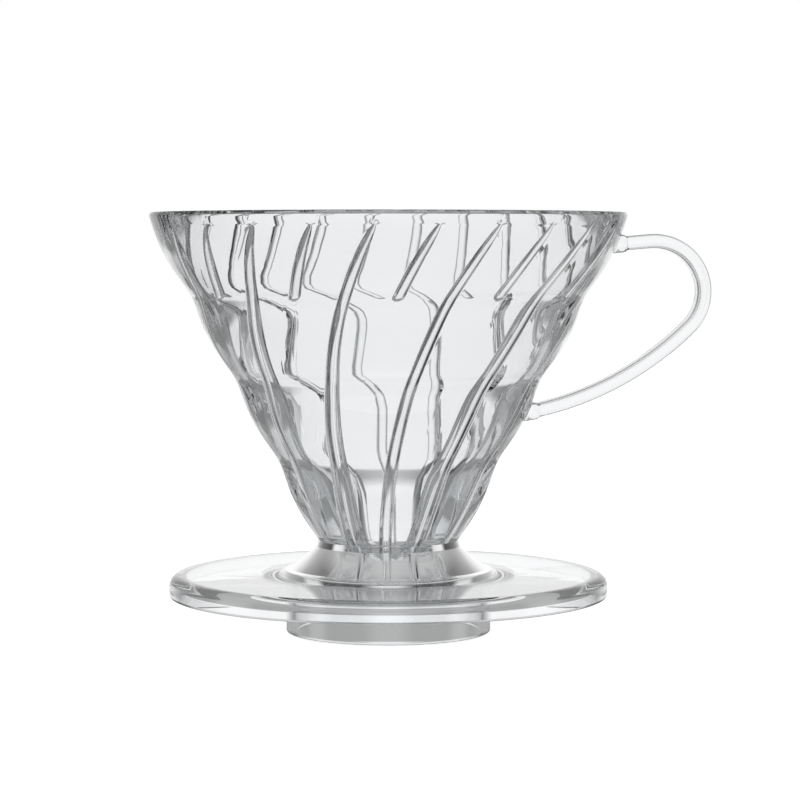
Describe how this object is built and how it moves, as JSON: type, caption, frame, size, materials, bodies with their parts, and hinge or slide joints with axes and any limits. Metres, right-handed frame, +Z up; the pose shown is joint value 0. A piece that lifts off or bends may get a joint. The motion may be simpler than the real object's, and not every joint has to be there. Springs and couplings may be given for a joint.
{
  "type": "pour over dripper",
  "caption": "Clear stepped cone dripper with spiral inner ribs, loop handle, flared neck, round base plate and locating ring.",
  "frame": {"origin": "on the cone's axis, at the bottom of the locating ring", "axes": "+Z up along the cone's axis towards the open rim; +X towards the handle"},
  "size_m": [0.136, 0.1158, 0.102],
  "materials": {
    "clear_resin": "polished clear moulded resin"
  },
  "bodies": {
    "root": {"cone_body": "clear_resin", "handle": "clear_resin", "neck_flare": "clear_resin", "base_plate": "clear_resin", "locating_ring": "clear_resin"}
  },
  "joints": []
}
